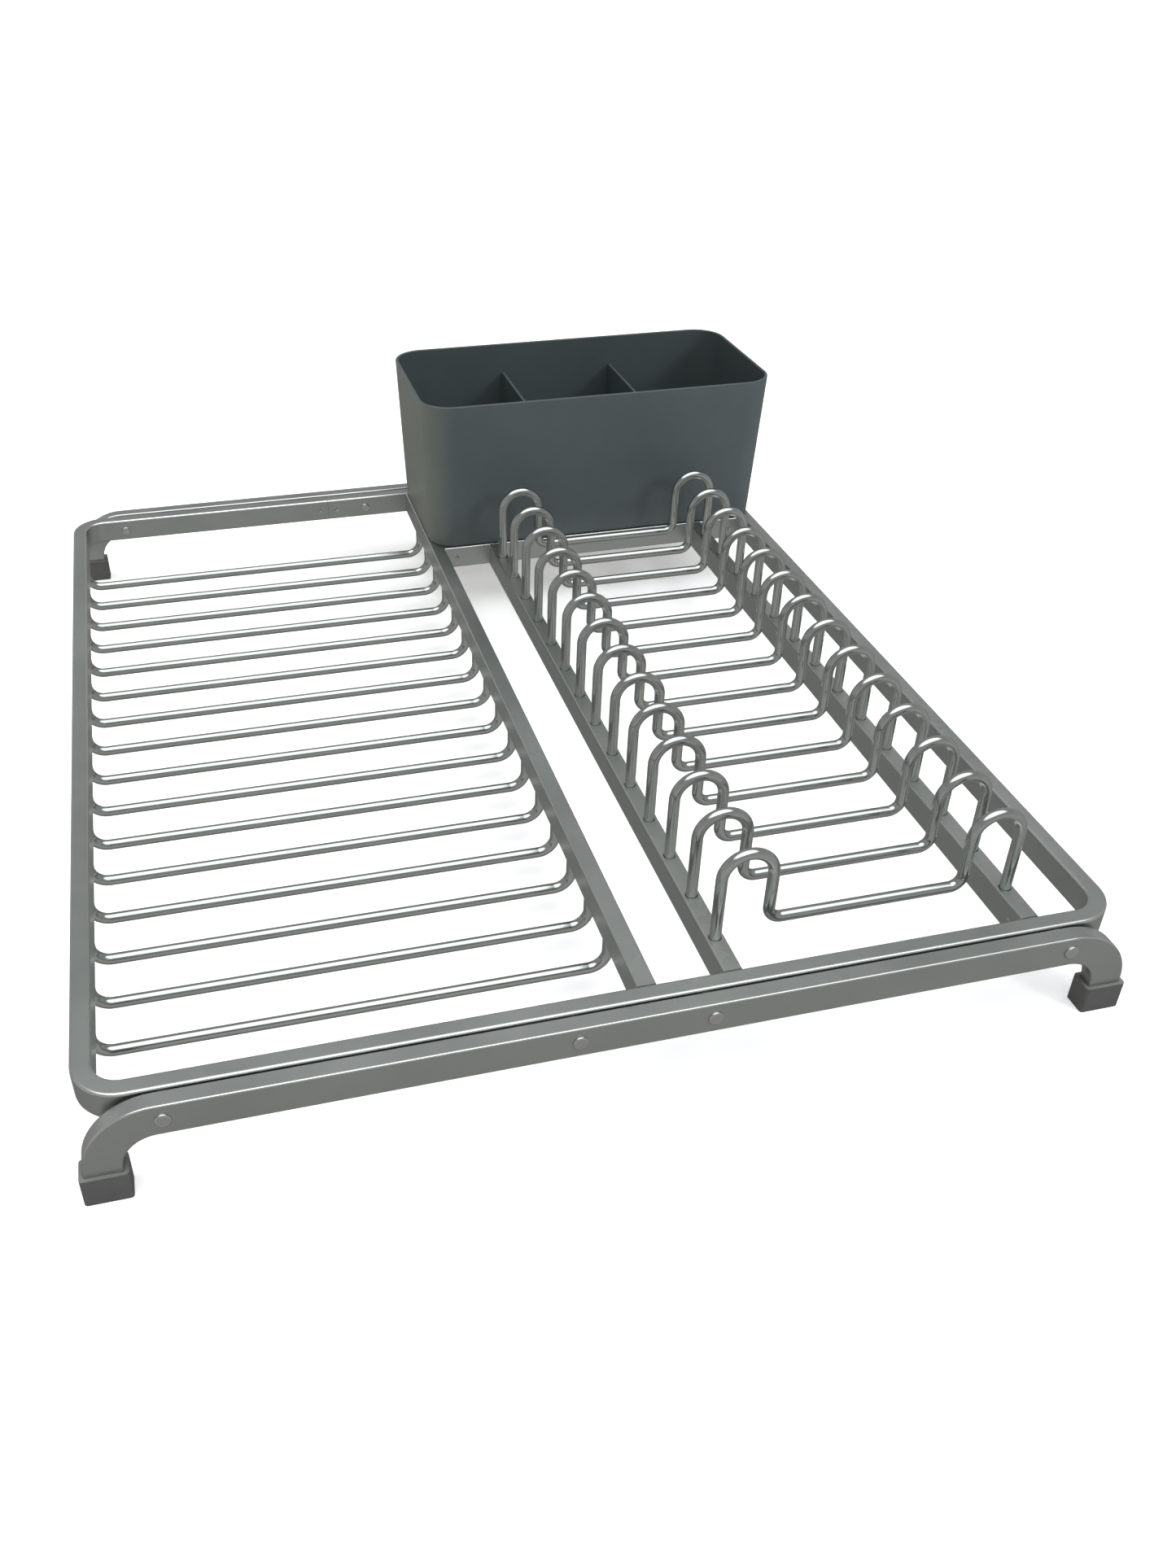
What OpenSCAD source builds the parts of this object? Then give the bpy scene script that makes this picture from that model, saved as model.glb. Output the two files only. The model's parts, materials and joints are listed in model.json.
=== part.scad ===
// Dish drying rack: a bent tube frame on two riveted leg bars, a sunken shelf of
// wires on the left, rows of wire loops for plates on the right and a lift-out
// cutlery holder at the back. Millimetres, +Z up, origin at the bottom centre.

/* [Frame] */
// Outer width of the frame, left to right
frame_w = 452; // [430:1:480]
// Outer depth of the frame, front to back
frame_d = 533; // [525:1:560]
// Height of the frame's flat top above the worktop
deck_h = 46; // [42:1:60]
// Width of the frame tube and the rails, seen from above
tube_w = 8.5; // [7:0.5:9]
// Height of the frame tube and the rails
tube_h = 14; // [13:0.5:16]
// Wall thickness of every tube
tube_wall = 1; // [0.8:0.1:1.2]
// Radius along the long edges of the frame tube
frame_edge_r = 1.3; // [0.8:0.1:1.4]
// Radius along the long edges of the rails and the leg bars
tube_edge_r = 0.8; // [0.5:0.1:1]
// Outer radius of the frame's four corners
frame_corner_r = 20; // [16:1:26]
// Distance of the frame's butt seam from its left side
seam_inset = 172; // [120:1:200]

/* [Cross rails] */
// Centre of the middle rail, to the right of the frame's centre
middle_rail_x = 5.7; // [0:0.1:12]
// Clear gap beside each of the two plate rails
plate_rail_gap = 29.7; // [26:0.1:34]
// Centre of the holder rail, measured from the frame's front
holder_rail_inset = 434.6; // [430:0.2:440]

/* [Leg bars] */
// Height of the leg bar section, which is the width of a leg
leg_bar_h = 15.5; // [14:0.5:17]
// Depth of the leg bar section, front to back
leg_bar_w = 8; // [7:0.5:9]
// Gap between a leg bar and the frame
leg_gap = 1.5; // [1:0.1:3]
// Distance of a leg's outer side from the frame's side
leg_inset = 0; // [0:0.5:5]
// Outer radius of the bend between the bar and a leg
leg_bend_r = 30.5; // [20:0.5:32]
// Wall of the rubber foot caps
cap_wall = 1.8; // [1.5:0.1:2.5]
// Radius of the upright edges of the foot caps
cap_edge_r = 1.5; // [0.8:0.1:3]
// Height of the rubber foot caps
cap_h = 14; // [12:0.5:18]
// Thickness of rubber under a leg
cap_floor = 3; // [2:0.5:4]

/* [Rivets] */
// Distance of the outer rivets from the middle of the row
rivet_outer_x = 193.8; // [180:0.2:196]
// Distance of the inner rivets from the middle of the row
rivet_inner_x = 29; // [15:1:60]
// Middle of the row of rivets, to the right of the frame's centre
rivet_row_x = 1.2; // [0:0.2:2]
// Diameter of a rivet's head
rivet_head_d = 7; // [6:0.5:8]
// Diameter of a rivet's shank
rivet_d = 4; // [3:0.5:4]

/* [Wires] */
// Diameter of the wires
wire_d = 5.2; // [4:0.1:5.3]
// Distance between neighbouring wires
wire_pitch = 29.3; // [28:0.1:29.4]
// Distance of the first plate wire from the frame's front
first_wire_inset = 29.5; // [28:0.5:31]
// Number of shelf wires
shelf_wires = 16; // [8:1:16]
// Depth of the shelf wires below the frame's top
shelf_drop = 34; // [28:0.5:35]
// Bend radius at the ends of a shelf wire, at the wire's middle
shelf_bend_r = 9; // [7:0.5:11]
// Number of plate wires
plate_wires = 14; // [8:1:14]
// Height of a loop's top above the frame, at the wire's middle
loop_rise = 43.4; // [36:0.2:50]
// Radius of a loop, at the wire's middle
loop_r = 11.8; // [9:0.1:13]
// Height of the plate wires' level run above the frame
run_rise = 6; // [4:0.5:9]
// Bend radius between a loop and the run
run_bend_r = 6; // [4:0.5:7]

/* [Cutlery holder] */
// Width of the holder at its rim
holder_w = 232.5; // [225:0.5:234]
// Depth of the holder at its rim, front to back
holder_d = 114.5; // [108:0.5:118]
// Height of the holder above the frame
holder_h = 95; // [80:0.5:110]
// Distance of the rim's middle from the frame's front
holder_inset = 484.5; // [482:0.5:485]
// How far the rim reaches past the frame's right side
holder_overhang = 4.7; // [3:0.1:7]
// How far each side leans out from the base to the rim
holder_draft = 4.4; // [2:0.1:5]
// Corner radius at the rim
holder_corner_r = 20; // [16:1:24]
// Wall thickness of the holder
holder_wall = 2; // [1.6:0.1:2.6]
// Height of the two dividers above the frame
divider_h = 76; // [60:1:80]
// Distance of the dividers from the holder's middle
divider_x = 38.5; // [34:0.5:42]

/* [Hidden] */
$fn = 48;
fit = 0.1;                 // play around a wire, a rivet or a plug
wire_r = wire_d / 2;
cavity_w = tube_w - 2 * tube_wall;
cavity_h = tube_h - 2 * tube_wall;
front_y = -frame_d / 2;
inner_x = frame_w / 2 - tube_w;
inner_y = frame_d / 2 - tube_w;
tube_z = deck_h - tube_h / 2;

// Rails inside the frame
middle_rail_l = 2 * inner_y;
middle_rail_right = middle_rail_x + tube_w / 2;
left_plate_x = middle_rail_right + plate_rail_gap + tube_w / 2;
right_plate_x = inner_x - plate_rail_gap - tube_w / 2;
holder_rail_y = front_y + holder_rail_inset;
holder_rail_front = holder_rail_y - tube_w / 2;
plate_rail_l = holder_rail_front + inner_y;
plate_rail_y = -inner_y + plate_rail_l / 2;
holder_rail_l = inner_x - middle_rail_right;
holder_rail_x = middle_rail_right + holder_rail_l / 2;
seam_x = seam_inset - frame_w / 2;

// Plugs that join the rails, with a tongue through the neighbour's wall
plug_l = 14;
tongue_l = 4;
tongue_w = 3;
tongue_h = 8;
splice_l = 40;
dimple_r = 1.4;
dimple_depth = 0.6;
dimple_inset = 8;
seam_gap = 0.2;
seam_dimple_x = 6;

// Leg bars and rivets
leg_y = frame_d / 2 + leg_gap + leg_bar_w / 2;
leg_x = frame_w / 2 - leg_inset - leg_bar_h / 2;
leg_mid_r = leg_bend_r - leg_bar_h / 2;
rivet_z = deck_h - leg_bar_h / 2;
rivet_xs = [for (x = [-rivet_outer_x, -rivet_inner_x, rivet_inner_x, rivet_outer_x]) x + rivet_row_x];
rivet_head_h = 1;
rivet_edge_r = 0.8;
rivet_tail_d = 6;
spacer_d = 8;

// Wires
run_z = deck_h + run_rise;
loop_z = deck_h + loop_rise - loop_r;
shelf_z = deck_h - shelf_drop;
shelf_left_x = -frame_w / 2 + tube_w / 2;
hole_rim_r = wire_r + 0.3;
hole_rim_depth = 0.4;

// Holder
holder_x = frame_w / 2 + holder_overhang - holder_w / 2;
holder_y = front_y + holder_inset;
base_corner_r = holder_corner_r - holder_draft;
holder_floor = 2.5;
divider_t = 1.8;
skirt_depth = 6;
skirt_play = 1.5;
skirt_w = holder_rail_l - 2 * skirt_play;
skirt_d = inner_y - holder_rail_y - tube_w / 2 - 2 * skirt_play;
skirt_y = (inner_y + holder_rail_y + tube_w / 2) / 2;
skirt_corner_r = 14;
drain_d = 6;
drain_step_x = 17.6;
drain_step_y = 22;

// The holder reaches past the right foot caps, so everything shifts left to stay centred
cap_side = frame_w / 2 - leg_inset + cap_wall;
side_shift = -(holder_x + holder_w / 2 - cap_side) / 2;

aluminium = [0.62, 0.64, 0.64];
steel = [0.72, 0.74, 0.75];
rubber = [0.33, 0.33, 0.32];
plastic = [0.28, 0.31, 0.31];

function numbered(name, i) = str(name, i < 10 ? "_0" : "_", i);
function wire_y(k) = front_y + first_wire_inset + wire_pitch * k;

// ---------- Outlines and sweeps ----------

// Rectangle with round corners, centred
module round_rect(w, h, r) {
    square([w - 2 * r, h], center = true);
    square([w, h - 2 * r], center = true);
    for (x = [-1, 1], y = [-1, 1])
        translate([x * (w / 2 - r), y * (h / 2 - r)]) circle(r);
}

// Hollow tube section, w across and h high, with edges of radius r
module tube_section(w, h, r = tube_edge_r) {
    difference() {
        round_rect(w, h, r);
        square([w - 2 * tube_wall, h - 2 * tube_wall], center = true);
    }
}

// Straight tube along X, centred
module tube_x(l, w, h, r = tube_edge_r) {
    rotate([90, 0, 90]) linear_extrude(l, center = true) tube_section(w, h, r);
}

// Straight tube along Y, centred
module tube_y(l, w, h, r = tube_edge_r) {
    rotate([90, 0, 0]) linear_extrude(l, center = true) tube_section(w, h, r);
}

// Wire along X from x1 to x2
module wire_x(x1, x2) {
    translate([x1, 0, 0]) rotate([0, 90, 0]) cylinder(h = x2 - x1, r = wire_r);
}

// Wire along Z from z1 to z2
module wire_z(z1, z2) {
    translate([0, 0, z1]) cylinder(h = z2 - z1, r = wire_r);
}

// Bend of a wire in the X-Z plane, turning from start through turn degrees
module wire_bend(r, start, turn) {
    rotate([90, 0, 0]) rotate([0, 0, start])
        rotate_extrude(angle = turn) translate([r, 0]) circle(wire_r);
}

// ---------- Frame ----------

module frame_corner() {
    rotate_extrude(angle = 90)
        translate([frame_corner_r - tube_w / 2, 0]) tube_section(tube_w, tube_h, frame_edge_r);
}

module frame_tube() {
    for (s = [-1, 1]) {
        translate([0, s * (frame_d - tube_w) / 2, 0])
            tube_x(frame_w - 2 * frame_corner_r, tube_w, tube_h, frame_edge_r);
        translate([s * (frame_w - tube_w) / 2, 0, 0])
            tube_y(frame_d - 2 * frame_corner_r, tube_w, tube_h, frame_edge_r);
    }
    for (a = [0, 90, 180, 270]) {
        sx = (a == 0 || a == 270) ? 1 : -1;
        sy = a < 180 ? 1 : -1;
        translate([sx * (frame_w / 2 - frame_corner_r), sy * (frame_d / 2 - frame_corner_r), 0])
            rotate([0, 0, a]) frame_corner();
    }
}

// Slot for a plug's tongue, through one wall that faces along X or Y
module tongue_slot(along_x) {
    play = tongue_w + 2 * fit;
    depth = 2 * tube_wall + 1;
    cube(along_x ? [depth, play, tongue_h + 2 * fit] : [play, depth, tongue_h + 2 * fit], center = true);
}

// Row of holes for the ends of the wires numbered from first to last
module wire_holes(first, last) {
    for (k = [first:last])
        translate([0, wire_y(k), 0]) cylinder(h = 2 * tube_wall + 1, r = wire_r + fit, center = true);
}

// Punch mark: a shallow cone in a face, pointing along -Z
module dimple() {
    translate([0, 0, -dimple_depth]) cylinder(h = dimple_depth + 0.01, r1 = 0.3, r2 = dimple_r);
}

module frame_loop() {
    color(aluminium) difference() {
        translate([0, 0, tube_z]) frame_tube();
        // Butt seam in the back rail
        translate([seam_x, frame_d / 2, tube_z]) cube([seam_gap, 3 * tube_w, 2 * tube_h], center = true);
        for (s = [-1, 1])
            translate([seam_x + s * seam_dimple_x, inner_y, tube_z]) rotate([90, 0, 0]) dimple();
        translate([shelf_left_x, 0, deck_h - tube_h]) wire_holes(1, shelf_wires);
        for (x = rivet_xs, s = [-1, 1])
            translate([x, s * (frame_d - tube_w) / 2, rivet_z])
                rotate([90, 0, 0]) cylinder(h = 2 * tube_w, r = rivet_d / 2 + fit, center = true);
        for (x = [middle_rail_x, left_plate_x, right_plate_x])
            translate([x, -inner_y, tube_z]) tongue_slot(false);
        translate([middle_rail_x, inner_y, tube_z]) tongue_slot(false);
        translate([inner_x, holder_rail_y, tube_z]) tongue_slot(true);
    }
}

module frame_splice() {
    color(aluminium) translate([seam_x, (frame_d - tube_w) / 2, tube_z])
        cube([splice_l, cavity_w - fit, cavity_h], center = true);
}

// ---------- Rails inside the frame ----------

module middle_rail() {
    color(aluminium) difference() {
        translate([middle_rail_x, 0, tube_z]) tube_y(middle_rail_l, tube_w, tube_h);
        translate([middle_rail_x, 0, deck_h - tube_h]) wire_holes(1, shelf_wires);
        translate([middle_rail_right, holder_rail_y, tube_z]) tongue_slot(true);
        for (s = [-1, 1])
            translate([middle_rail_right, s * (inner_y - dimple_inset), tube_z])
                rotate([0, 90, 0]) dimple();
    }
}

// Rail with a row of loops; outward is -1 where the punch marks face left, 1 where they face right
module plate_rail(x, outward) {
    color(aluminium) difference() {
        translate([x, plate_rail_y, tube_z]) tube_y(plate_rail_l, tube_w, tube_h);
        translate([x, 0, deck_h]) wire_holes(0, plate_wires - 1);
        for (k = [0:plate_wires - 1])
            translate([x, wire_y(k), deck_h - hole_rim_depth])
                cylinder(h = hole_rim_depth + 0.01, r1 = wire_r + fit, r2 = hole_rim_r);
        for (y = [-inner_y + dimple_inset, holder_rail_front - dimple_inset])
            translate([x + outward * tube_w / 2, y, tube_z]) rotate([0, outward * 90, 0]) dimple();
    }
}

module left_plate_rail() {
    plate_rail(left_plate_x, 1);
}

module right_plate_rail() {
    plate_rail(right_plate_x, -1);
}

module holder_rail() {
    color(aluminium) difference() {
        translate([holder_rail_x, holder_rail_y, tube_z]) tube_x(holder_rail_l, tube_w, tube_h);
        for (x = [left_plate_x, right_plate_x])
            translate([x, holder_rail_front, tube_z]) tongue_slot(false);
        for (x = [middle_rail_right + dimple_inset, inner_x - dimple_inset])
            translate([x, holder_rail_front, tube_z]) rotate([90, 0, 0]) dimple();
    }
}

// Plug in the end of a rail; its tongue points along -Y from the rail's end face
module rail_plug() {
    translate([0, plug_l / 2, 0]) cube([cavity_w - fit, plug_l, cavity_h], center = true);
    translate([0, -tongue_l / 2, 0]) cube([tongue_w, tongue_l + 0.02, tongue_h], center = true);
}

module rail_plugs() {
    color(steel) translate([0, 0, tube_z]) {
        for (x = [middle_rail_x, left_plate_x, right_plate_x])
            translate([x, -inner_y, 0]) rail_plug();
        translate([middle_rail_x, inner_y, 0]) rotate([0, 0, 180]) rail_plug();
        for (x = [left_plate_x, right_plate_x])
            translate([x, holder_rail_front, 0]) rotate([0, 0, 180]) rail_plug();
        translate([middle_rail_right, holder_rail_y, 0]) rotate([0, 0, -90]) rail_plug();
        translate([inner_x, holder_rail_y, 0]) rotate([0, 0, 90]) rail_plug();
    }
}

// ---------- Leg bars, rivets and feet ----------

module leg_bend() {
    rotate([90, 0, 0]) rotate_extrude(angle = 90)
        translate([leg_mid_r, 0]) tube_section(leg_bar_h, leg_bar_w);
}

// Bar with a bend and a short leg at each end, in the X-Z plane
module leg_bar_tube() {
    bend_x = leg_x - leg_mid_r;
    bend_z = deck_h - leg_bend_r;
    translate([0, 0, rivet_z]) tube_x(2 * bend_x, leg_bar_w, leg_bar_h);
    for (m = [0, 1]) mirror([m, 0, 0]) {
        translate([bend_x, 0, bend_z]) leg_bend();
        translate([leg_x, 0, cap_floor])
            linear_extrude(bend_z - cap_floor) tube_section(leg_bar_h, leg_bar_w);
    }
}

module leg_bar(y) {
    color(aluminium) difference() {
        translate([0, y, 0]) leg_bar_tube();
        for (x = rivet_xs)
            translate([x, y, rivet_z])
                rotate([90, 0, 0]) cylinder(h = 2 * tube_w, r = rivet_d / 2 + fit, center = true);
    }
}

module front_leg_bar() {
    leg_bar(-leg_y);
}

module back_leg_bar() {
    leg_bar(leg_y);
}

// Flat button with a round edge, standing on z = 0
module rivet_button(d) {
    level_r = d / 2 - rivet_edge_r;
    rotate_extrude() intersection() {
        square([d / 2, rivet_head_h]);
        union() {
            square([level_r, rivet_head_h]);
            square([d / 2, rivet_head_h - rivet_edge_r]);
            translate([level_r, rivet_head_h - rivet_edge_r]) circle(rivet_edge_r);
        }
    }
}

// Rivet with its head on z = 0, its shank running down and its closed end below
module rivet() {
    grip = tube_w + leg_gap + leg_bar_w;
    rivet_button(rivet_head_d);
    translate([0, 0, -grip - 0.01]) cylinder(h = grip + 0.02, r = rivet_d / 2);
    translate([0, 0, -grip]) mirror([0, 0, 1]) rivet_button(rivet_tail_d);
}

module rivets(side) {
    color(steel)
        for (x = rivet_xs)
            translate([x, side * (leg_y + leg_bar_w / 2), rivet_z])
                rotate([-side * 90, 0, 0]) rivet();
}

module front_rivets() {
    rivets(-1);
}

module back_rivets() {
    rivets(1);
}

// Rings that keep the gap between a leg bar and the frame
module spacers(side) {
    color(steel)
        for (x = rivet_xs)
            translate([x, side * (frame_d / 2 + leg_gap / 2), rivet_z]) rotate([90, 0, 0])
                difference() {
                    cylinder(h = leg_gap, r = spacer_d / 2, center = true);
                    cylinder(h = 2 * leg_gap, r = rivet_d / 2 + fit, center = true);
                }
}

module front_spacers() {
    spacers(-1);
}

module back_spacers() {
    spacers(1);
}

module foot_cap(x, y) {
    color(rubber) translate([x, y, 0]) difference() {
        linear_extrude(cap_h) round_rect(leg_bar_h + 2 * cap_wall, leg_bar_w + 2 * cap_wall, cap_edge_r);
        translate([0, 0, cap_floor])
            linear_extrude(cap_h) round_rect(leg_bar_h + fit, leg_bar_w + fit, tube_edge_r);
    }
}

// ---------- Wires ----------

// Shallow U whose ends stand in holes under the left rail and the middle rail
module shelf_wire(k) {
    top = deck_h - tube_wall;
    low = shelf_z + shelf_bend_r;
    x1 = shelf_left_x + shelf_bend_r;
    x2 = middle_rail_x - shelf_bend_r;
    color(steel) translate([0, wire_y(k), 0]) {
        translate([shelf_left_x, 0, 0]) wire_z(low, top);
        translate([x1, 0, low]) wire_bend(shelf_bend_r, 180, 90);
        translate([0, 0, shelf_z]) wire_x(x1, x2);
        translate([x2, 0, low]) wire_bend(shelf_bend_r, 270, 90);
        translate([middle_rail_x, 0, 0]) wire_z(low, top);
    }
}

// One end of a plate wire: foot, loop and the bend that leads to the run
module loop_end() {
    low = run_z + run_bend_r;
    wire_z(deck_h - tube_h + tube_wall, loop_z);
    translate([loop_r, 0, loop_z]) wire_bend(loop_r, 0, 180);
    translate([2 * loop_r, 0, 0]) wire_z(low, loop_z);
    translate([2 * loop_r + run_bend_r, 0, low]) wire_bend(run_bend_r, 180, 90);
}

module plate_wire(k) {
    run_inset = 2 * loop_r + run_bend_r;
    color(steel) translate([0, wire_y(k), 0]) {
        translate([left_plate_x, 0, 0]) loop_end();
        translate([right_plate_x, 0, 0]) mirror([1, 0, 0]) loop_end();
        translate([0, 0, run_z]) wire_x(left_plate_x + run_inset, right_plate_x - run_inset);
    }
}

// ---------- Cutlery holder ----------

// Thin slab at the height z of a tapered tub, grown by grow on every side
module holder_slab(z, grow) {
    lean = holder_draft * z / holder_h;
    w = holder_w - 2 * holder_draft + 2 * lean + 2 * grow;
    d = holder_d - 2 * holder_draft + 2 * lean + 2 * grow;
    r = base_corner_r + lean + grow;
    for (x = [-1, 1], y = [-1, 1])
        translate([x * (w / 2 - r), y * (d / 2 - r), z]) cylinder(h = 0.01, r = r, $fn = 64);
}

module holder_tub(z1, z2, grow) {
    hull() {
        holder_slab(z1, grow);
        holder_slab(z2 - 0.01, grow);
    }
}

module holder_dividers() {
    for (x = [-divider_x, divider_x])
        translate([x - divider_t / 2, -holder_d, 0]) cube([divider_t, 2 * holder_d, divider_h]);
}

// Holes in the floor of the three compartments
module holder_drains() {
    for (c = [-2 * divider_x, 0, 2 * divider_x], x = [-1, 0, 1], y = [-1, 0, 1])
        translate([c + x * drain_step_x, y * drain_step_y, -1])
            cylinder(h = holder_floor + 2, r = drain_d / 2);
}

// Low skirt under the floor that drops between the rails
module holder_skirt() {
    translate([0, 0, -skirt_depth]) linear_extrude(skirt_depth + 0.5) difference() {
        round_rect(skirt_w, skirt_d, skirt_corner_r);
        round_rect(skirt_w - 2 * holder_wall, skirt_d - 2 * holder_wall, skirt_corner_r - holder_wall);
    }
}

module cutlery_holder() {
    color(plastic) translate([0, 0, deck_h]) {
        translate([holder_x, holder_y, 0]) difference() {
            holder_tub(0, holder_h, 0);
            difference() {
                holder_tub(holder_floor, holder_h + 1, -holder_wall);
                holder_dividers();
            }
            holder_drains();
        }
        translate([holder_rail_x, skirt_y, 0]) holder_skirt();
    }
}

// ---------- Assembly ----------

module placed() {
    translate([side_shift, 0, 0]) children();
}

placed() frame_loop();
placed() frame_splice();
placed() middle_rail();
placed() left_plate_rail();
placed() right_plate_rail();
placed() holder_rail();
placed() rail_plugs();
placed() front_leg_bar();
placed() back_leg_bar();
placed() front_rivets();
placed() back_rivets();
placed() front_spacers();
placed() back_spacers();
placed() foot_cap(-leg_x, -leg_y);  // foot_cap_front_left
placed() foot_cap(leg_x, -leg_y);  // foot_cap_front_right
placed() foot_cap(-leg_x, leg_y);  // foot_cap_back_left
placed() foot_cap(leg_x, leg_y);  // foot_cap_back_right
for (i = [1:shelf_wires])
    placed() shelf_wire(i);
for (i = [1:plate_wires])
    placed() plate_wire(i - 1);
placed() cutlery_holder();
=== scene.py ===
import json
import math

import bmesh
import bpy
from mathutils import Euler, Matrix, Vector


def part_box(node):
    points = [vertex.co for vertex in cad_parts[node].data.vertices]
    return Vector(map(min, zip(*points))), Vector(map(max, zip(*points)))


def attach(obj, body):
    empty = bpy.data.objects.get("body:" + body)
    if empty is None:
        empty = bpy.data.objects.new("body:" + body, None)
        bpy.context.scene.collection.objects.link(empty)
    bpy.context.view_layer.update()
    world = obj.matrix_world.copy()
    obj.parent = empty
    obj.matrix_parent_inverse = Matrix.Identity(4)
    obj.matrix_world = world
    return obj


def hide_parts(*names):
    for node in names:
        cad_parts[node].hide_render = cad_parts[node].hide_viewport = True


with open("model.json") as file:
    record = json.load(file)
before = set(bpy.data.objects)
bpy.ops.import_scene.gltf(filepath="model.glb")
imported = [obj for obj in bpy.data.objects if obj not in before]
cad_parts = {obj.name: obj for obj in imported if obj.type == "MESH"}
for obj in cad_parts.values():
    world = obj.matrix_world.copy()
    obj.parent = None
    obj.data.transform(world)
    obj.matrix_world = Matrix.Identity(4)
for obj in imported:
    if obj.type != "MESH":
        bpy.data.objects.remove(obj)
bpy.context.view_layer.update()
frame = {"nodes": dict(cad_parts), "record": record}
nodes = frame["nodes"]
scene = bpy.context.scene
MM = 0.001


# ---------- Camera: the photograph's viewpoint ----------

CAMERA_PLACE = (-0.15355, -0.6464, 0.4418)
CAMERA_YAW = math.radians(14.544)
CAMERA_PITCH = math.radians(36.04)      # downward
CAMERA_ROLL = math.radians(0.375)
CAMERA_NEAR = 0.01
SENSOR = 36.0
LENS = 31.524
SHIFT = (0.0468, 0.0112)


def make_camera():
    data = bpy.data.cameras.new("camera")
    data.sensor_width = SENSOR
    data.lens = LENS
    data.shift_x, data.shift_y = SHIFT
    data.clip_start = CAMERA_NEAR
    camera = bpy.data.objects.new("camera", data)
    scene.collection.objects.link(camera)
    aim = Euler((math.pi / 2 - CAMERA_PITCH, 0, -CAMERA_YAW)).to_matrix()
    turn = aim @ Matrix.Rotation(CAMERA_ROLL, 3, "Z")
    camera.matrix_world = Matrix.Translation(CAMERA_PLACE) @ turn.to_4x4()
    scene.camera = camera


# ---------- Node helpers ----------

# A Mix node's colour sockets; its sockets for the other types of data have the same names
MIX_A, MIX_B, MIX_RESULT = 6, 7, 2

# How far up a face looks, where it starts to count as a top and where it fully does
TOP_FACE = (0.7, 0.95)
# The same for the rounding of an upper edge, from the upright side and from the level top
EDGE_FROM_SIDE = (0.15, 0.35)
EDGE_FROM_TOP = (0.90, 0.98)


class Nodes:
    """A node tree, with short calls for the nodes that the materials and the room share."""

    def __init__(self, tree):
        self.tree = tree

    def add(self, kind, **values):
        node = self.tree.nodes.new(kind)
        for key, value in values.items():
            setattr(node, key, value)
        return node

    def link(self, source, target):
        self.tree.links.new(source, target)

    def feed(self, socket, value):
        """Links value to the socket, or sets it there if it is a plain number or colour."""
        if isinstance(value, bpy.types.NodeSocket):
            self.link(value, socket)
        else:
            socket.default_value = value

    def spread(self, value, low, high, to_low=0.0, to_high=1.0):
        """value from low to high becomes to_low to to_high, and is held beyond them."""
        node = self.add("ShaderNodeMapRange")
        self.feed(node.inputs["Value"], value)
        node.inputs["From Min"].default_value = low
        node.inputs["From Max"].default_value = high
        node.inputs["To Min"].default_value = to_low
        node.inputs["To Max"].default_value = to_high
        return node.outputs["Result"]

    def maths(self, how, *values):
        node = self.add("ShaderNodeMath", operation=how)
        for socket, value in zip(node.inputs, values):
            self.feed(socket, value)
        return node.outputs["Value"]

    def blend(self, share, a, b):
        """Colour a where share is 0 and colour b where it is 1."""
        node = self.add("ShaderNodeMix", data_type="RGBA")
        self.feed(node.inputs["Factor"], share)
        self.feed(node.inputs[MIX_A], a)
        self.feed(node.inputs[MIX_B], b)
        return node.outputs[MIX_RESULT]

    def split(self, vector):
        node = self.add("ShaderNodeSeparateXYZ")
        self.link(vector, node.inputs[0])
        return node.outputs


class Shader(Nodes):
    """A material and its node tree."""

    def __init__(self, name):
        self.material = bpy.data.materials.new(name)
        self.material.use_nodes = True
        super().__init__(self.material.node_tree)
        self.surface = self.tree.nodes["Principled BSDF"]
        self.place = self.add("ShaderNodeTexCoord").outputs["Object"]

    def noise(self, scale, detail=2.0, rough=0.5, distort=0.0):
        """Noise of about scale patches to the metre."""
        node = self.add("ShaderNodeTexNoise")
        self.link(self.place, node.inputs["Vector"])
        node.inputs["Scale"].default_value = scale
        node.inputs["Detail"].default_value = detail
        node.inputs["Roughness"].default_value = rough
        node.inputs["Distortion"].default_value = distort
        return node.outputs["Fac"]

    def bump(self, height, depth, strength):
        node = self.add("ShaderNodeBump")
        self.link(height, node.inputs["Height"])
        node.inputs["Distance"].default_value = depth
        node.inputs["Strength"].default_value = strength
        return node.outputs["Normal"]

    def upness(self):
        """How far a surface looks up: 1 where it is level, 0 where it is upright."""
        return self.split(self.add("ShaderNodeNewGeometry").outputs["Normal"])["Z"]

    def facing_up(self):
        """1 on level faces that look up, 0 on upright faces and undersides."""
        return self.spread(self.upness(), *TOP_FACE)

    def upper_edges(self):
        """1 on the rounding between a level top and an upright side, 0 on both of them."""
        up = self.upness()
        above_side = self.spread(up, *EDGE_FROM_SIDE)
        below_top = self.spread(up, *EDGE_FROM_TOP, to_low=1.0, to_high=0.0)
        return self.maths("MULTIPLY", above_side, below_top)

    def finish(self, **sockets):
        """Feeds the surface's sockets, with _ for a space in their names."""
        for key, value in sockets.items():
            self.feed(self.surface.inputs[key.replace("_", " ")], value)
        return self.material


def grey(value, warm=0.0, green=0.0):
    """A grey of that strength, with more red than blue where warm is above 0."""
    return (value * (1 + warm), value * (1 + green), value * (1 - warm), 1.0)


# ---------- Materials ----------

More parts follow.
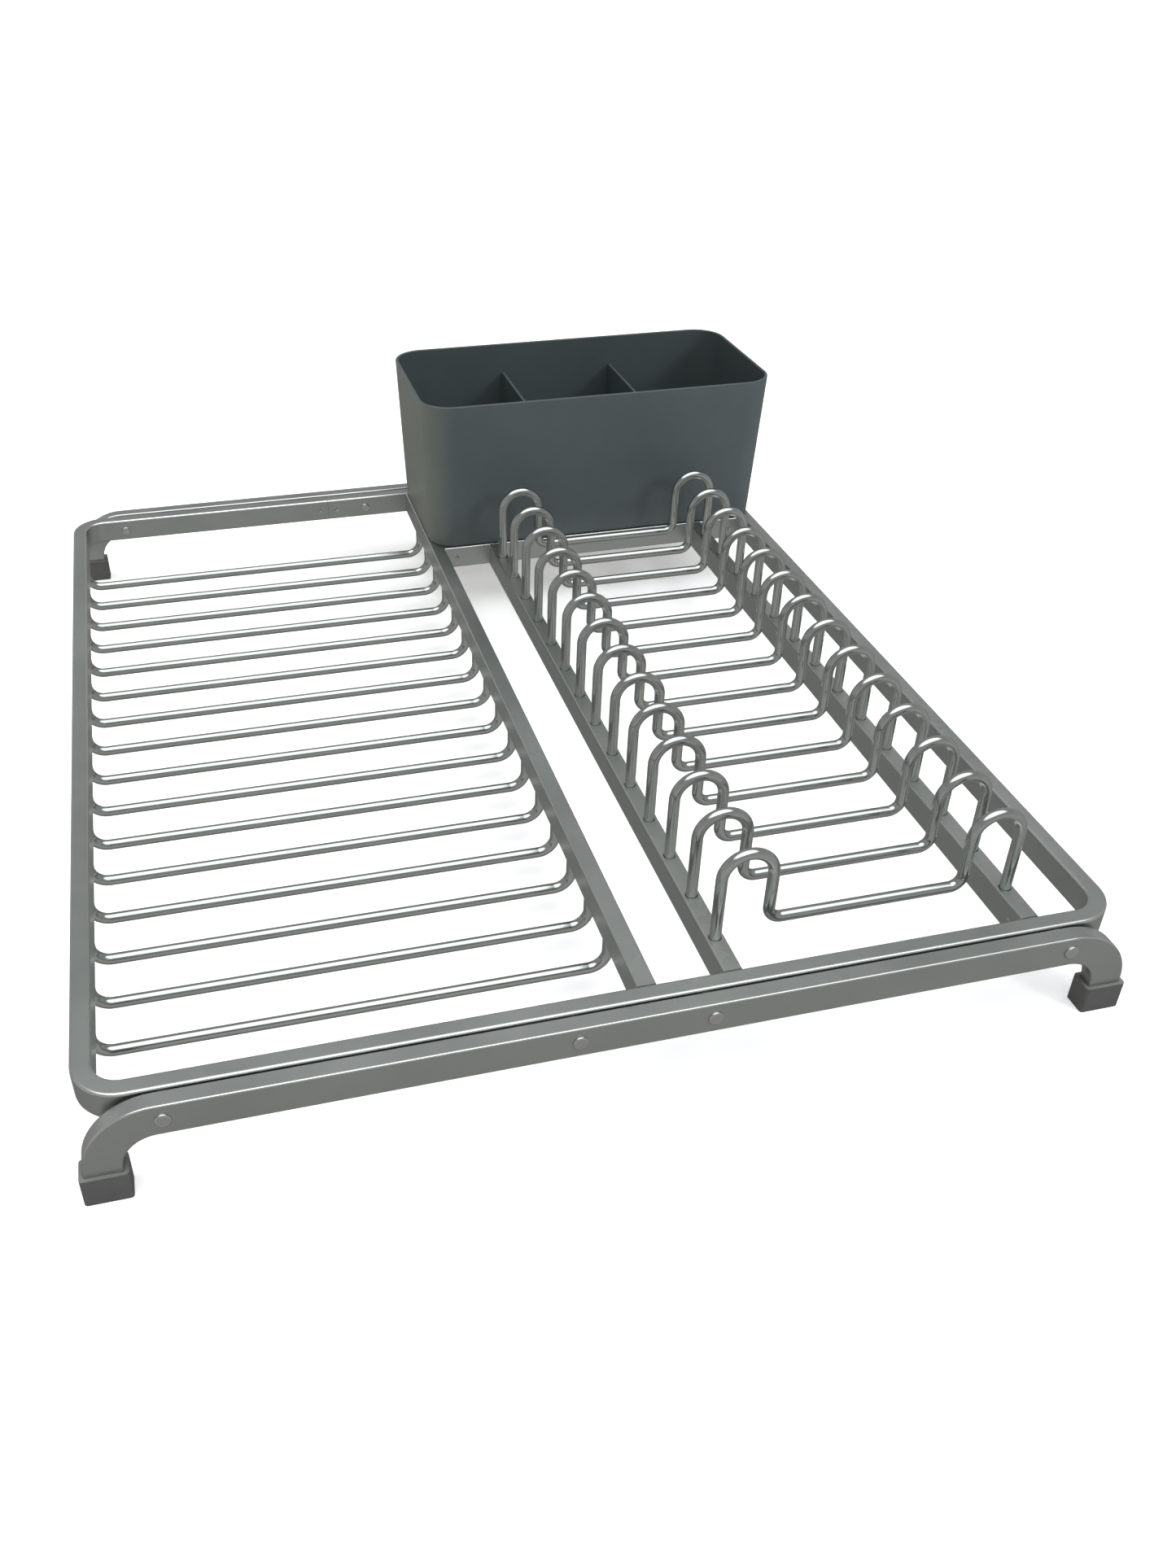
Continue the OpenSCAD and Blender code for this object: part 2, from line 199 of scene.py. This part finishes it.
TUBE_TONES = (grey(0.475, -0.004, 0.055), grey(0.52, 0.0, 0.05))
TUBE_GRAIN = grey(0.34)
DROP_OUTLINE = 0.60          # the noise's level along a dried drop's edge
RING_WIDTH = 0.016           # of the mark round a drop, in the same level
PATCH_EDGE = 0.03            # over which the dull patch inside a drop comes in
RING_TONE, RING_SHARE = grey(0.78), 0.30
PATCH_TONE, PATCH_SHARE = grey(0.30), 0.16
WET_ROUGHNESS = 0.05
# Painted highlight on the tubes' upper edges: its tone, and how much of it is laid on
EDGE_HIGHLIGHT_TONE, EDGE_HIGHLIGHT_SHARE = grey(0.84), 0.6
EDGE_POLISH = 0.12

WIRE_TONES = (grey(0.50, -0.008, 0.045), grey(0.54, -0.008, 0.045))
WIRE_GRAIN = grey(0.36)

RIVET_TONES = (grey(0.54), grey(0.62))

CAP_TONES = (grey(0.050, 0.015), grey(0.062, 0.02))
CAP_SKIN = grey(0.2, 0.02)
# Painted light on the caps' upward faces: its tone, and how much of it is laid on
CAP_TOP_LIGHT_TONE, CAP_TOP_LIGHT_SHARE = grey(0.26, 0.02), 0.62

HOLDER_TONES = ((0.056, 0.070, 0.071, 1), (0.062, 0.077, 0.078, 1))
HOLDER_SKIN = (0.18, 0.20, 0.20, 1)


def tube_metal():
    """Satin anodised aluminium: fine grain, cloudy toning, a painted highlight on the upper edges, and
    dried water marks.
    """
    s = Shader("tube_aluminium")
    clouds = s.noise(scale=16.0, detail=3.0, rough=0.6)
    grain = s.noise(scale=2400.0, rough=0.7)
    tone = s.blend(s.spread(clouds, 0.35, 0.65), *TUBE_TONES)
    tone = s.blend(s.spread(grain, 0.3, 0.7, to_high=0.10), tone, TUBE_GRAIN)
    # A dried drop is a ring with a faint dull patch inside it, and drops keep to a few places
    drops = s.noise(scale=85.0, detail=1.5, distort=1.4)
    off_outline = s.maths("ABSOLUTE", s.maths("SUBTRACT", drops, DROP_OUTLINE))
    ring = s.spread(off_outline, 0.0, RING_WIDTH, to_low=1.0, to_high=0.0)
    inside = s.spread(drops, DROP_OUTLINE, DROP_OUTLINE + PATCH_EDGE)
    places = s.spread(s.noise(scale=6.5), 0.50, 0.62)
    wet = s.maths("MULTIPLY", places, s.facing_up())
    ring_share = s.maths("MULTIPLY", s.maths("MULTIPLY", ring, wet), RING_SHARE)
    tone = s.blend(ring_share, tone, RING_TONE)
    patch_share = s.maths("MULTIPLY", s.maths("MULTIPLY", inside, wet), PATCH_SHARE)
    tone = s.blend(patch_share, tone, PATCH_TONE)
    rough = s.spread(clouds, 0.3, 0.7, to_low=0.34, to_high=0.40)
    rough = s.maths("ADD", rough, s.maths("MULTIPLY", wet, WET_ROUGHNESS))
    # Handling polishes the upper edges, which lowers their roughness; their lighter colour is a painted
    # highlight
    edges = s.upper_edges()
    tone = s.blend(s.maths("MULTIPLY", edges, EDGE_HIGHLIGHT_SHARE), tone, EDGE_HIGHLIGHT_TONE)
    rough = s.maths("SUBTRACT", rough, s.maths("MULTIPLY", edges, EDGE_POLISH))
    normal = s.bump(grain, depth=0.02 * MM, strength=0.22)
    return s.finish(Base_Color=tone, Metallic=1.0, Roughness=rough, Normal=normal)


def wire_metal():
    """Drawn wire with a smooth satin polish and slow changes of tone along it."""
    s = Shader("wire_metal")
    clouds = s.noise(scale=30.0)
    grain = s.noise(scale=1500.0, rough=0.6)
    tone = s.blend(s.spread(clouds, 0.35, 0.65), *WIRE_TONES)
    tone = s.blend(s.spread(grain, 0.35, 0.7, to_high=0.05), tone, WIRE_GRAIN)
    rough = s.spread(clouds, 0.3, 0.7, to_low=0.14, to_high=0.17)
    normal = s.bump(grain, depth=0.01 * MM, strength=0.03)
    return s.finish(Base_Color=tone, Metallic=1.0, Roughness=rough, Normal=normal)


def rivet_metal():
    """Aluminium rivets, a little smoother than the tubes."""
    s = Shader("rivet_metal")
    grain = s.noise(scale=1500.0, rough=0.7)
    tone = s.blend(s.spread(grain, 0.3, 0.7), *RIVET_TONES)
    rough = s.spread(grain, 0.3, 0.7, to_low=0.24, to_high=0.32)
    normal = s.bump(grain, depth=0.01 * MM, strength=0.2)
    return s.finish(Base_Color=tone, Metallic=1.0, Roughness=rough, Normal=normal)


def cap_rubber():
    """Grey moulded rubber with a fine matt skin, a little dusty, with painted light that makes its
    upward faces on the rim paler.
    """
    s = Shader("cap_rubber")
    skin = s.noise(scale=1400.0, detail=3.0, rough=0.7)
    dust = s.noise(scale=160.0, detail=4.0, rough=0.7)
    tone = s.blend(s.spread(dust, 0.35, 0.7), *CAP_TONES)
    tone = s.blend(s.spread(skin, 0.4, 0.7, to_high=0.12), tone, CAP_SKIN)
    # Painted light: the upward faces of the rim are made paler
    tone = s.blend(s.maths("MULTIPLY", s.facing_up(), CAP_TOP_LIGHT_SHARE), tone, CAP_TOP_LIGHT_TONE)
    rough = s.spread(dust, 0.3, 0.7, to_low=0.55, to_high=0.68)
    normal = s.bump(skin, depth=0.05 * MM, strength=0.35)
    return s.finish(Base_Color=tone, Roughness=rough, Normal=normal)


def holder_plastic():
    """Fine matt moulded plastic, dark grey with a touch of green."""
    s = Shader("holder_plastic")
    skin = s.noise(scale=1700.0, detail=3.0, rough=0.7)
    clouds = s.noise(scale=18.0, detail=3.0, rough=0.55)
    tone = s.blend(s.spread(clouds, 0.35, 0.65), *HOLDER_TONES)
    tone = s.blend(s.spread(skin, 0.45, 0.75, to_high=0.08), tone, HOLDER_SKIN)
    rough = s.spread(clouds, 0.3, 0.7, to_low=0.42, to_high=0.48)
    normal = s.bump(skin, depth=0.04 * MM, strength=0.35)
    return s.finish(Base_Color=tone, Roughness=rough, Normal=normal)


# ---------- Surroundings ----------

FLOOR_SIZE = 24.0
FLOOR_TONES = (grey(0.93), grey(0.95))
FLOOR_GLOW = 0.35            # a light table, so that the shadows stay pale
# The walls as the rack sees them: the height of the direction, from -1 straight down to 1
# straight up, with the strength and the warmth there
WALLS = (
    (-1.0, 0.20, 0.03),
    (-0.7, 0.30, 0.02),
    (-0.2, 0.36, 0.01),
    (0.15, 0.38, 0.0),
    (0.42, 0.37, -0.01),
    (0.58, 0.31, -0.02),
    (1.0, 0.34, -0.02),
)
HORIZON = (-0.15, 0.1)       # heights between which "below the horizon" fades out
BACK_DIMMING = 0.35          # below it, the back is that much dimmer and the front brighter
PANEL_TILT = math.radians(10)
PANEL_REACH = (math.radians(40), math.radians(33))     # outer and inner end of its soft edge
PANEL_COLOUR = (1.98, 2.02, 2.05, 1.0)
BACKDROP = grey(1.0)

# Name, direction, spread in degrees, strength, colour
SUNS = (
    ("overhead", (0.05, 0.1, -1), 80, 0.8, (0.88, 0.95, 1.0)),
    ("right_key", (-0.55, 0.75, -0.45), 14, 0.9, (1.0, 0.99, 0.98)),
)
FILL_PLACE = (-1.0, 0.32, 0.065)
FILL_SIZE = (0.3, 0.11)
FILL_POWER = 10.0
FILL_COLOUR = (1.0, 0.82, 0.56)


def make_floor():
    """A plain white light table that lights the rack but that the metal doesn't mirror."""
    mesh = bpy.data.meshes.new("floor")
    half = FLOOR_SIZE / 2
    corners = [(-half, -half, 0), (half, -half, 0), (half, half, 0), (-half, half, 0)]
    mesh.from_pydata(corners, [], [(0, 1, 2, 3)])
    floor = bpy.data.objects.new("floor", mesh)
    scene.collection.objects.link(floor)
    s = Shader("floor_white")
    tone = s.blend(s.spread(s.noise(scale=3.0), 0.3, 0.7), *FLOOR_TONES)
    white = s.finish(Base_Color=tone, Roughness=0.8, Specular_IOR_Level=0.2,
                     Emission_Color=grey(1.0), Emission_Strength=FLOOR_GLOW)
    mesh.materials.append(white)
    floor.visible_glossy = False


def wall_colour(room, split):
    """The walls' colour in a direction, from WALLS, brighter low at the front than at the back."""
    ramp = room.add("ShaderNodeValToRGB")
    room.link(room.spread(split["Z"], -1.0, 1.0), ramp.inputs["Fac"])
    elements = ramp.color_ramp.elements
    while len(elements) < len(WALLS):
        elements.new(0.5)
    for element, (height, strength, warm) in zip(elements, WALLS):
        element.position = (height + 1) / 2
        element.color = grey(strength, warm)
    slope = room.spread(split["Y"], -1.0, 1.0, to_low=BACK_DIMMING, to_high=-BACK_DIMMING)
    below = room.spread(split["Z"], *HORIZON, to_low=1.0, to_high=0.0)
    walls = room.add("ShaderNodeVectorMath", operation="SCALE")
    room.link(ramp.outputs["Color"], walls.inputs[0])
    room.link(room.maths("MULTIPLY_ADD", slope, below, 1.0), walls.inputs["Scale"])
    return walls.outputs[0]


def panel_share(room, place):
    """1 in the directions of the overhead panel, 0 outside its soft edge."""
    aim = room.add("ShaderNodeVectorMath", operation="DOT_PRODUCT")
    room.link(place, aim.inputs[0])
    aim.inputs[1].default_value = (0, -math.sin(PANEL_TILT), math.cos(PANEL_TILT))
    edge, core = (math.cos(reach) for reach in PANEL_REACH)
    return room.spread(aim.outputs["Value"], edge, core)


def make_world():
    """A room for the metal to mirror, with a bright panel overhead, and a white backdrop."""
    world = bpy.data.worlds.new("studio")
    scene.world = world
    world.use_nodes = True
    world.node_tree.nodes.clear()
    room = Nodes(world.node_tree)
    place = room.add("ShaderNodeTexCoord").outputs["Generated"]
    walls = wall_colour(room, room.split(place))
    mirrored = room.add("ShaderNodeBackground")
    room.link(room.blend(panel_share(room, place), walls, PANEL_COLOUR), mirrored.inputs["Color"])
    backdrop = room.add("ShaderNodeBackground")
    backdrop.inputs["Color"].default_value = BACKDROP
    mix = room.add("ShaderNodeMixShader")
    room.link(room.add("ShaderNodeLightPath").outputs["Is Camera Ray"], mix.inputs[0])
    room.link(mirrored.outputs[0], mix.inputs[1])
    room.link(backdrop.outputs[0], mix.inputs[2])
    room.link(mix.outputs[0], room.add("ShaderNodeOutputWorld").inputs["Surface"])


def make_light(name, kind, power, colour):
    """A light that only matt surfaces answer to."""
    data = bpy.data.lights.new(name, kind)
    data.energy = power
    data.color = colour
    light = bpy.data.objects.new(name, data)
    light.visible_glossy = False
    scene.collection.objects.link(light)
    return light


def make_lights():
    for name, aim, spread, strength, colour in SUNS:
        sun = make_light(name, "SUN", strength, colour)
        sun.data.angle = math.radians(spread)
        sun.rotation_euler = Vector(aim).to_track_quat("-Z", "Y").to_euler()
    # A warm panel that stands on the table and shines along +X, below the holder's rim
    fill = make_light("left_fill", "AREA", FILL_POWER, FILL_COLOUR)
    fill.data.shape = "RECTANGLE"
    fill.data.size, fill.data.size_y = FILL_SIZE
    fill.location = FILL_PLACE
    fill.rotation_euler = (math.pi / 2, 0, -math.pi / 2)
    fill.visible_camera = False


# ---------- The cutlery holder ----------

HOLDER_DRAFT = 4.4 * MM      # how far each side leans out from the base to the rim
HOLDER_CORNER = 20 * MM      # at the rim
HOLDER_WALL = 2 * MM
HOLDER_FLOOR = 2.5 * MM
HOLDER_SPLAY = 3 * MM        # radius where the walls meet the floor inside
BASE_EDGE = 1.2 * MM
RIM_EDGE = 0.7 * MM
DIVIDER_X = 38.5 * MM        # from the middle of the holder
DIVIDER_TOP = 76 * MM
DIVIDER_T = 1.8 * MM
DIVIDER_EDGE = 0.6 * MM
DIVIDER_EDGE_STEPS = 3
DIVIDER_SUNK = 0.8 * MM      # how far a divider runs into the walls and the floor
DRAIN_R = 3 * MM
DRAIN_STEP = (17.6 * MM, 22 * MM)
DRAIN_SIDES = 28
DRILL_LENGTH = 4 * HOLDER_FLOOR
SKIRT_PLAY = 1.5 * MM
SKIRT_CORNER = 14 * MM
SKIRT_EDGE = HOLDER_WALL / 3
SKIRT_SUNK = 0.5 * MM
CORNER_STEPS = 14
EDGE_STEPS = 5
CREASE_ANGLE = math.radians(35)     # faces that meet at more than this keep a crease
BIG_FACE_WEIGHT = 90                # how much the shading keeps to the larger faces


def new_object(name, bm):
    mesh = bpy.data.meshes.new(name)
    bm.to_mesh(mesh)
    bm.free()
    obj = bpy.data.objects.new(name, mesh)
    scene.collection.objects.link(obj)
    return obj


def rounded_ring(bm, middle, size, radius, z):
    """Ring of points round a rectangle with round corners, level at height z."""
    ring = []
    for quarter, (sx, sy) in enumerate(((1, 1), (-1, 1), (-1, -1), (1, -1))):
        x = middle[0] + sx * (size[0] / 2 - radius)
        y = middle[1] + sy * (size[1] / 2 - radius)
        for step in range(CORNER_STEPS + 1):
            angle = (quarter + step / CORNER_STEPS) * math.pi / 2
            ring.append(bm.verts.new((x + radius * math.cos(angle), y + radius * math.sin(angle), z)))
    return ring


def bridge(bm, low, high):
    """Faces between two rings, looking outward where high lies above low."""
    count = len(low)
    for i in range(count):
        j = (i + 1) % count
        bm.faces.new((low[i], low[j], high[j], high[i]))


def arc(middle, radius, start, end):
    """Points (inset, height) on an arc; the angles are in degrees."""
    points = []
    for step in range(EDGE_STEPS + 1):
        angle = math.radians(start + (end - start) * step / EDGE_STEPS)
        points.append((middle[0] + radius * math.cos(angle), middle[1] + radius * math.sin(angle)))
    return points


def tub_profile(height):
    """Cross-section of the tub as (inset from the rim's outline, height over the base)."""
    rim = height - RIM_EDGE
    floor_in = HOLDER_WALL + HOLDER_DRAFT
    outside = arc((HOLDER_DRAFT + BASE_EDGE, BASE_EDGE), BASE_EDGE, 270, 180)
    outer_rim = arc((RIM_EDGE + HOLDER_DRAFT * RIM_EDGE / height, rim), RIM_EDGE, 180, 90)
    inner_rim = arc((HOLDER_WALL - RIM_EDGE, rim), RIM_EDGE, 90, 0)
    splay = arc((floor_in + HOLDER_SPLAY, HOLDER_FLOOR + HOLDER_SPLAY), HOLDER_SPLAY, 180, 270)
    return outside + outer_rim + inner_rim + splay


def make_tub(middle, size, base, height):
    """The walls and floor, from the base's outer edge over the rim to the floor inside."""
    bm = bmesh.new()
    rings = []
    for inset, h in tub_profile(height):
        outline = (size[0] - 2 * inset, size[1] - 2 * inset)
        rings.append(rounded_ring(bm, middle, outline, HOLDER_CORNER - inset, base + h))
    for low, high in zip(rings, rings[1:]):
        bridge(bm, low, high)
    bm.faces.new(reversed(rings[0]))
    bm.faces.new(rings[-1])
    return new_object("cutlery_tub", bm)


def make_divider(x, y, half_depth, base, height):
    """A wall across the tub, wider at its top like the tub, with a round top edge."""
    bm = bmesh.new()
    corners = []
    for z in (HOLDER_FLOOR - DIVIDER_SUNK, DIVIDER_TOP):
        reach = half_depth - HOLDER_WALL - HOLDER_DRAFT * (1 - z / height) + DIVIDER_SUNK
        for sx, sy in ((-1, -1), (1, -1), (1, 1), (-1, 1)):
            corners.append(bm.verts.new((x + sx * DIVIDER_T / 2, y + sy * reach, base + z)))
    bridge(bm, corners[:4], corners[4:])
    bm.faces.new(reversed(corners[:4]))
    top = bm.faces.new(corners[4:])
    long_edges = [e for e in top.edges if abs(e.verts[0].co.y - e.verts[1].co.y) > half_depth]
    bmesh.ops.bevel(bm, geom=long_edges, offset=DIVIDER_EDGE, segments=DIVIDER_EDGE_STEPS,
                    profile=0.5, affect="EDGES")
    return new_object("divider", bm)


def make_skirt(low, high, top):
    """Low wall under the floor that keeps the holder in its place between the rails."""
    bm = bmesh.new()
    middle = ((low[0] + high[0]) / 2, (low[1] + high[1]) / 2)
    size = (high[0] - low[0], high[1] - low[1])
    bottom = low[2]
    outside = ((0, top), (0, bottom + SKIRT_EDGE), (SKIRT_EDGE, bottom))
    inside = ((HOLDER_WALL - SKIRT_EDGE, bottom), (HOLDER_WALL, bottom + SKIRT_EDGE), (HOLDER_WALL, top))
    rings = []
    for inset, z in outside + inside:
        outline = (size[0] - 2 * inset, size[1] - 2 * inset)
        rings.append(rounded_ring(bm, middle, outline, SKIRT_CORNER - inset, z))
    for upper, lower in zip(rings, rings[1:] + rings[:1]):
        bridge(bm, lower, upper)
    return new_object("skirt", bm)


def make_drill(middle, base):
    """The cutters of all the drain holes in one object: three by three in each compartment."""
    bm = bmesh.new()
    for compartment in (-1, 0, 1):
        for i in (-1, 0, 1):
            for j in (-1, 0, 1):
                x = middle[0] + 2 * compartment * DIVIDER_X + i * DRAIN_STEP[0]
                place = Matrix.Translation((x, middle[1] + j * DRAIN_STEP[1], base))
                bmesh.ops.create_cone(bm, cap_ends=True, segments=DRAIN_SIDES, radius1=DRAIN_R,
                                      radius2=DRAIN_R, depth=DRILL_LENGTH, matrix=place)
    return new_object("drill", bm)


def combine(obj, tool, how):
    """Joins tool to obj or cuts it out of obj, and removes tool."""
    boolean = obj.modifiers.new("combine", "BOOLEAN")
    boolean.operation = how
    boolean.solver = "EXACT"
    boolean.object = tool
    result = obj.evaluated_get(bpy.context.evaluated_depsgraph_get())
    mesh = bpy.data.meshes.new_from_object(result)
    obj.modifiers.clear()
    obj.data = mesh
    bpy.data.objects.remove(tool)


def soften(obj):
    """Smooth shading with creases only where faces meet at a sharp angle."""
    for face in obj.data.polygons:
        face.use_smooth = True
    obj.data.set_sharp_from_angle(angle=CREASE_ANGLE)
    weighted = obj.modifiers.new("weighted", "WEIGHTED_NORMAL")
    weighted.keep_sharp = True
    weighted.weight = BIG_FACE_WEIGHT


def make_holder(material):
    """The holder with its fine edges, in place of the plain CAD one."""
    low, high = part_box("cutlery_holder")
    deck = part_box("frame_loop")[1][2]
    middle = ((low[0] + high[0]) / 2, (low[1] + high[1]) / 2)
    size = (high[0] - low[0], high[1] - low[1])
    height = high[2] - deck
    tub = make_tub(middle, size, deck, height)
    for side in (-1, 1):
        divider = make_divider(middle[0] + side * DIVIDER_X, middle[1], size[1] / 2, deck, height)
        combine(tub, divider, "UNION")
    rail_low, rail_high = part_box("middle_rail")
    tube = rail_high[0] - rail_low[0]
    frame_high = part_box("frame_loop")[1]
    skirt_low = (rail_high[0] + SKIRT_PLAY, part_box("holder_rail")[1][1] + SKIRT_PLAY, low[2])
    skirt_high = (frame_high[0] - tube - SKIRT_PLAY, frame_high[1] - tube - SKIRT_PLAY)
    combine(tub, make_skirt(skirt_low, skirt_high, deck + SKIRT_SUNK), "UNION")
    combine(tub, make_drill(middle, deck), "DIFFERENCE")
    soften(tub)
    tub.data.materials.clear()
    tub.data.materials.append(material)
    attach(tub, "holder")
    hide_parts("cutlery_holder")


# ---------- Finer edges on the foot caps ----------

CAP_EDGE = 0.8 * MM
CAP_EDGE_STEPS = 4
CAP_CORNER_ANGLE = math.radians(50)     # only sharper corners than this are rounded
CAP_WELD = 0.01 * MM


def round_cap(obj):
    """Moulded edges round the cap's rim and base."""
    weld = obj.modifiers.new("weld", "WELD")
    weld.merge_threshold = CAP_WELD
    bevel = obj.modifiers.new("moulded_edges", "BEVEL")
    bevel.width = CAP_EDGE
    bevel.segments = CAP_EDGE_STEPS
    bevel.limit_method = "ANGLE"
    bevel.angle_limit = CAP_CORNER_ANGLE
    bevel.harden_normals = True


# ---------- Putting it together ----------

make_camera()
make_world()
make_floor()
make_lights()
scene.view_settings.view_transform = "Standard"

materials = {
    "tube": tube_metal(),
    "wire": wire_metal(),
    "fixings": rivet_metal(),
    "foot_cap": cap_rubber(),
    "holder": holder_plastic(),
}
slot_of = {row["node"]: row["material_slot"] for row in frame["record"]["subparts"]}
for name, obj in nodes.items():
    obj.data.materials.clear()
    obj.data.materials.append(materials[slot_of[name]])
    if slot_of[name] == "foot_cap":
        round_cap(obj)
make_holder(materials["holder"])
